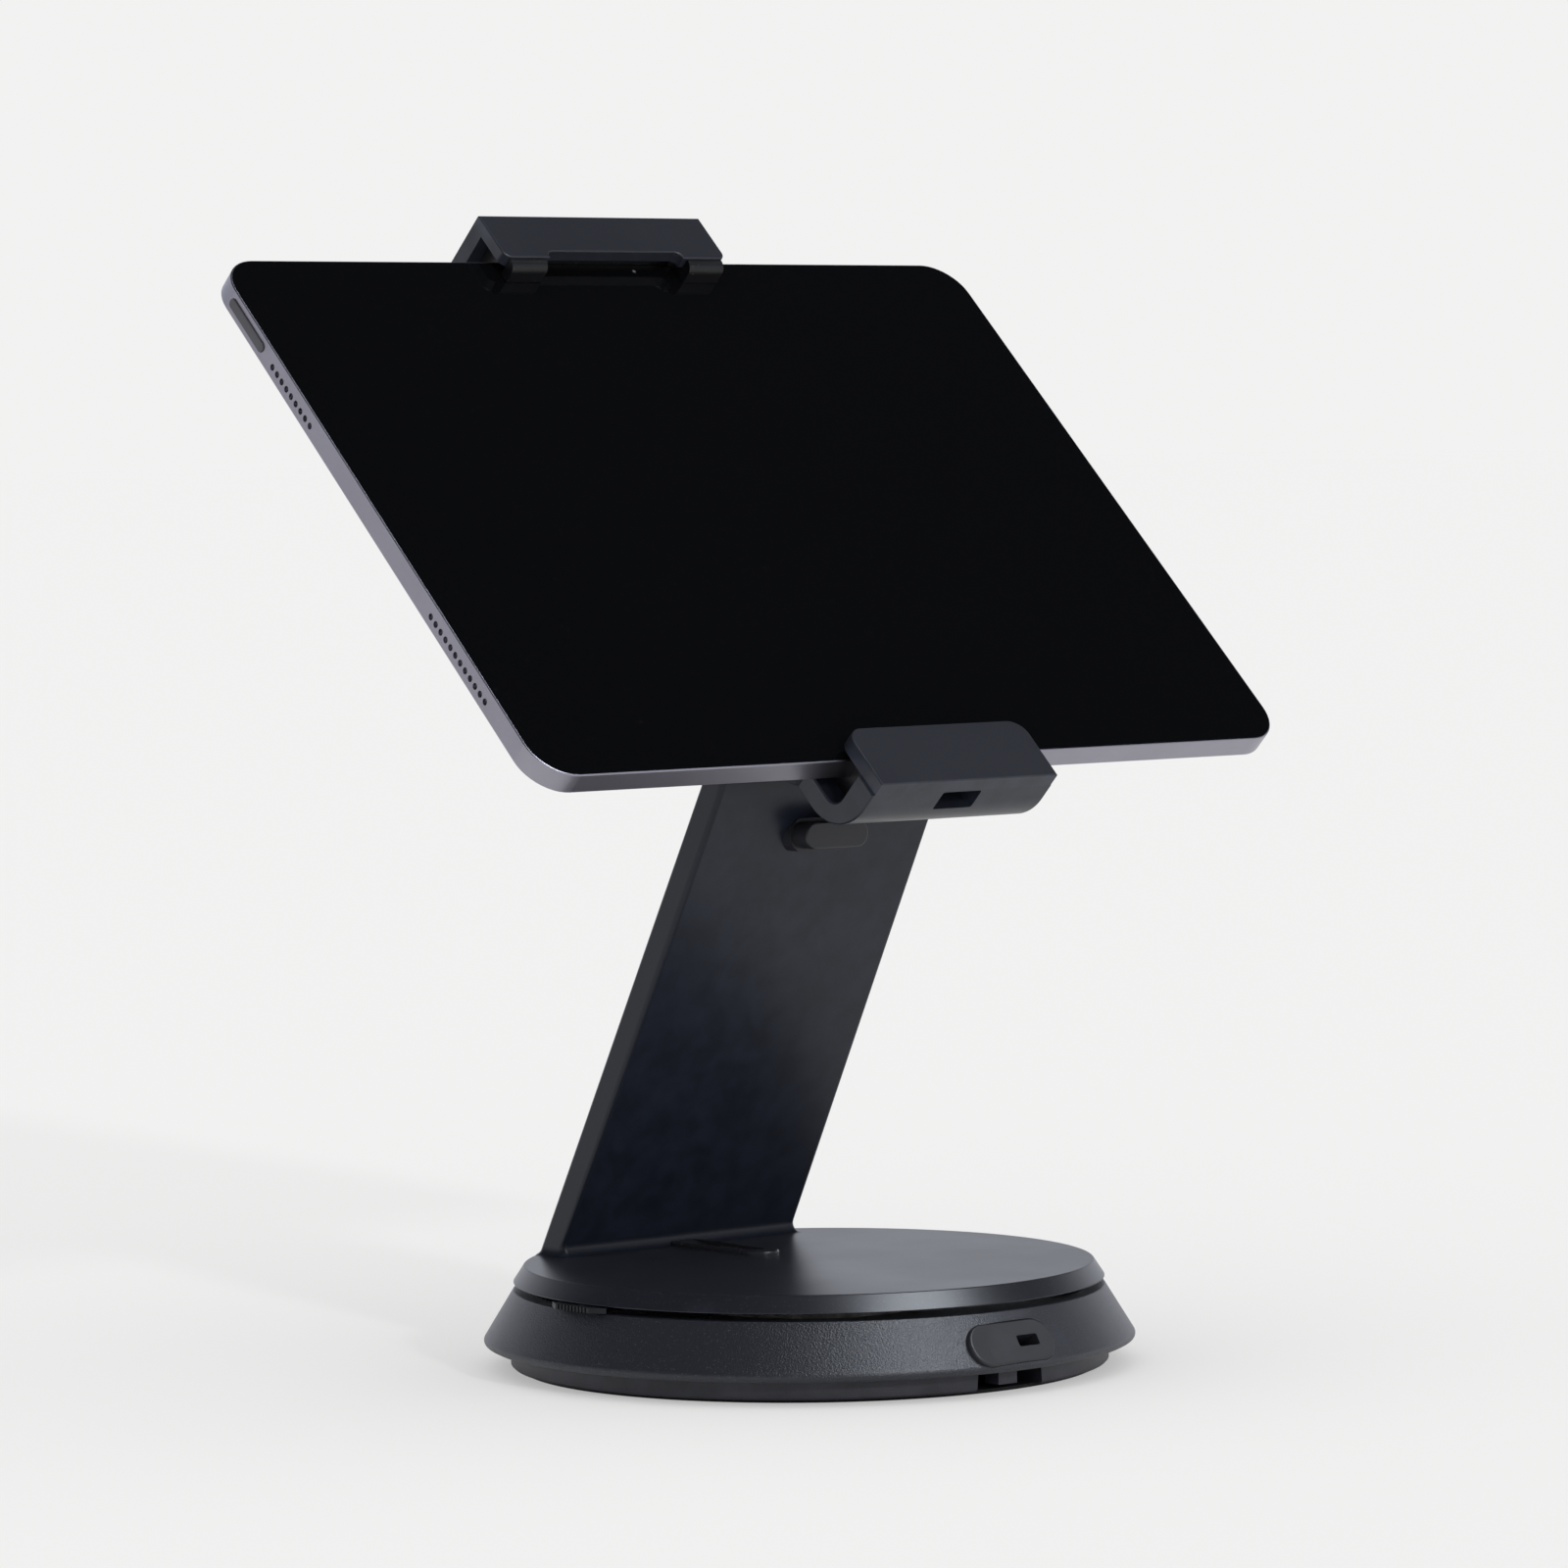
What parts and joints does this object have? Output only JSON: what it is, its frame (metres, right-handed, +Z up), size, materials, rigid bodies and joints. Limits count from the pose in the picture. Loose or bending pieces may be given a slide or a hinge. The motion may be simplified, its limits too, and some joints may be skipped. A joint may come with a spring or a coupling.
{
  "type": "tablet security kiosk stand",
  "caption": "Counter stand with a round swivel base, a leaning bent arm and a turning head whose sliding, key-locked jaws clamp a slate tablet.",
  "frame": {"origin": "on the floor at the swivel axis, the middle of the foot mat's underside", "axes": "+Z up along the swivel axis, -Y towards the front of the stand, +X to the right of the screen"},
  "size_m": [0.248, 0.179, 0.2931],
  "materials": {
    "skirt_coat": "satin",
    "pan_coat": "satin",
    "turntable_coat": "satin",
    "arm_coat": "satin",
    "jaw_coat": "satin",
    "cap_coat": "satin",
    "tray_coat": "satin",
    "cover_plastic": "matte",
    "trim_plastic": "satin",
    "lock_plastic": "satin",
    "black_rubber": "matte",
    "steel": "brushed",
    "lock_metal": "polished",
    "bearing_plastic": "matte",
    "tablet_metal": "fine blasted",
    "screen_glass": "polished",
    "display_stack": "gloss",
    "battery_wrap": "matte",
    "board_green": "matte",
    "lens_glass": "polished"
  },
  "bodies": {
    "base": {"base_pan": "pan_coat", "foot_mat": "black_rubber", "pan_screws": "steel", "ballast_plate": "steel", "base_skirt": "skirt_coat", "security_plug": "trim_plastic", "slip_ring": "bearing_plastic"},
    "rotation_lock": {"rotation_lock_tab": "lock_plastic", "brake_shoe": "black_rubber"},
    "turntable": {"swivel_hub": "steel", "hub_screws": "steel", "swivel_retainer": "steel", "turntable_plate": "turntable_coat", "cable_grommet": "black_rubber", "foot_screws": "steel", "arm_shell": "arm_coat", "arm_back_cover": "cover_plastic", "cable_peg": "trim_plastic", "head_bush": "bearing_plastic", "head_stop_pin": "steel", "hub_cap": "cover_plastic"},
    "head": {"head_spindle": "steel", "spindle_screws": "steel", "spring_washer": "steel", "hub_nut": "steel", "head_tray": "tray_coat", "head_front_plate": "tray_coat", "plate_screws": "steel", "tablet_pads": "black_rubber", "lower_jaw": "jaw_coat", "lower_jaw_cap": "cap_coat", "lower_jaw_liner": "black_rubber", "jaw_screws": "steel", "tablet_housing": "tablet_metal", "tablet_glass": "screen_glass", "tablet_display": "display_stack", "tablet_batteries": "battery_wrap", "tablet_board": "board_green", "tablet_camera_ring": "tablet_metal", "tablet_camera_lens": "lens_glass"},
    "upper_jaw": {"upper_jaw": "jaw_coat", "upper_jaw_cap": "cap_coat", "upper_jaw_liner": "black_rubber"},
    "key_cylinder": {"lock_cylinder": "lock_metal"},
    "lock_bolt": {"lock_bolt": "steel"},
    "power_button": {"tablet_power_button": "tablet_metal"},
    "volume_up": {"tablet_volume_up": "tablet_metal"},
    "volume_down": {"tablet_volume_down": "tablet_metal"}
  },
  "joints": [
    {"name": "turntable_swivel", "type": "hinge", "parent": "base", "child": "turntable", "pos_m": [0, 0, 0.0222], "axis": [0, 0, 1], "range_deg": [-135, 135]},
    {"name": "rotation_lock_slide", "type": "slide", "parent": "base", "child": "rotation_lock", "axis": [-1, 0, 0], "range_m": [0, 0.0035]},
    {"name": "head_rotation", "type": "hinge", "parent": "turntable", "child": "head", "pos_m": [0, 0.0169, 0.2164], "axis": [0, 0.7022, -0.712], "range_deg": [0, 90]},
    {"name": "upper_jaw_slide", "type": "slide", "parent": "head", "child": "upper_jaw", "axis": [0, 0.712, 0.7022], "range_m": [0, 0.04]},
    {"name": "key_cylinder_turn", "type": "hinge", "parent": "head", "child": "key_cylinder", "pos_m": [0, 0.07607, 0.2447], "axis": [0, 0.7022, -0.712], "range_deg": [0, 90]},
    {"name": "lock_bolt_slide", "type": "slide", "parent": "head", "child": "lock_bolt", "axis": [1, 0, 0], "range_m": [0, 0.0022]},
    {"name": "power_button_press", "type": "slide", "parent": "head", "child": "power_button", "axis": [1, 0, 0], "range_m": [0, 0.00035], "stiffness_N_per_m": 3000, "springref_m": -0.00005},
    {"name": "volume_up_press", "type": "slide", "parent": "head", "child": "volume_up", "axis": [0, -0.712, -0.7022], "range_m": [0, 0.00035], "stiffness_N_per_m": 3000, "springref_m": -0.00005},
    {"name": "volume_down_press", "type": "slide", "parent": "head", "child": "volume_down", "axis": [0, -0.712, -0.7022], "range_m": [0, 0.00035], "stiffness_N_per_m": 3000, "springref_m": -0.00005}
  ],
  "couplings": [
    {"joint": "key_cylinder_turn", "follows": "lock_bolt_slide", "rad_per_m": 713.99}
  ]
}
